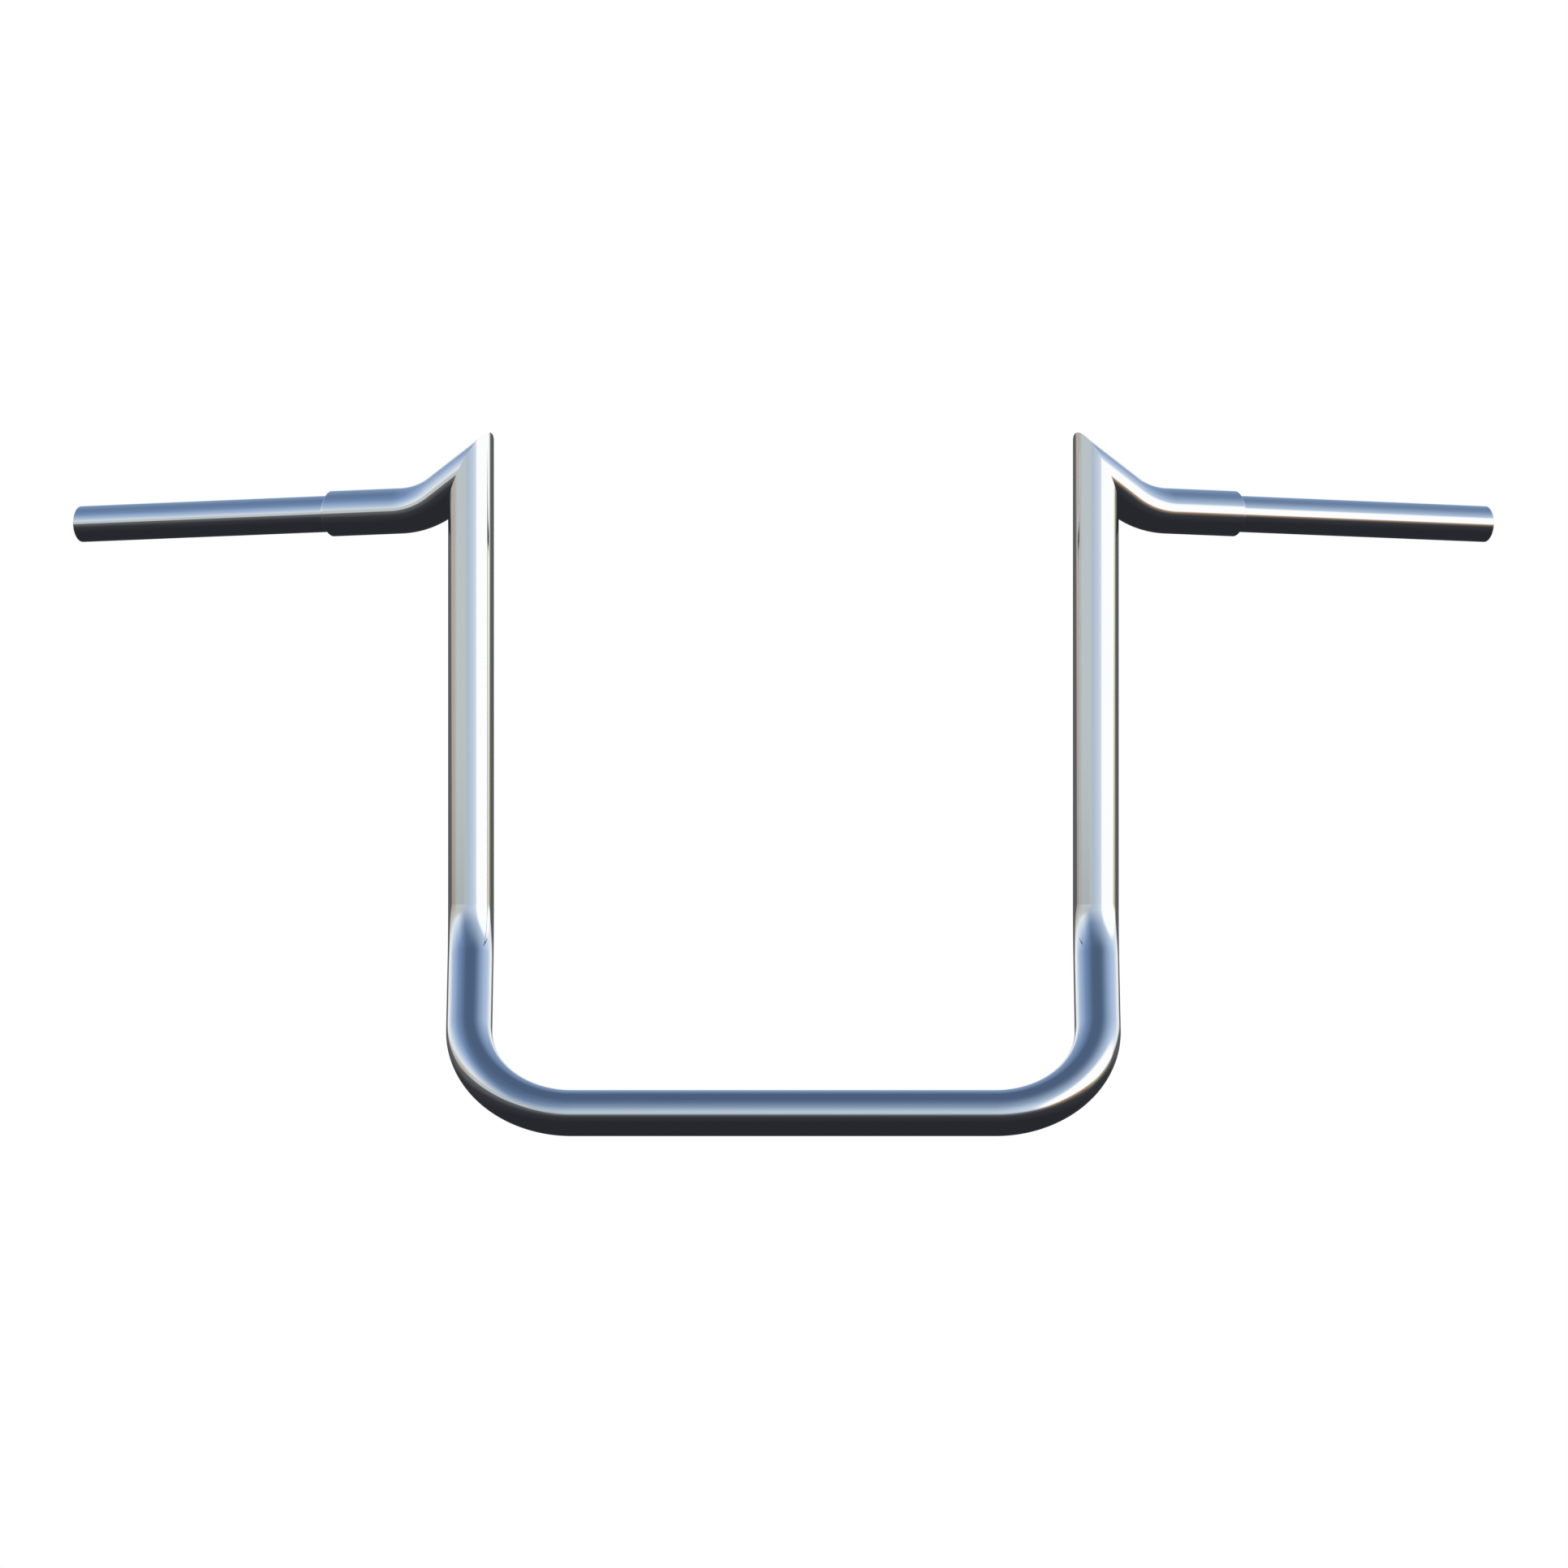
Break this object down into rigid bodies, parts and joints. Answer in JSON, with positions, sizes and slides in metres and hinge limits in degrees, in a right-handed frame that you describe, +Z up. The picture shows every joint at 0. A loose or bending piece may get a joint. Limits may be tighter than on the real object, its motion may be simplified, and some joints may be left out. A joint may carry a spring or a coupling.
{
  "type": "ape hanger handlebar",
  "caption": "Tall chromed motorcycle handlebar: a bent U of fat tube with mitred pointed tops, short bent arms and thinner pulled-back grip tubes.",
  "frame": {"origin": "middle of the clamp section's axis", "axes": "+X along the clamp section to the rider's left, +Y back to the rider, +Z up along the risers"},
  "size_m": [0.9978, 0.2745, 0.4834],
  "materials": {
    "polished_chrome": "mirror polished chrome plate over steel tube"
  },
  "bodies": {
    "root": {"main_tube": "polished_chrome", "right_arm": "polished_chrome", "left_arm": "polished_chrome", "right_grip_tube": "polished_chrome", "left_grip_tube": "polished_chrome"}
  },
  "joints": []
}
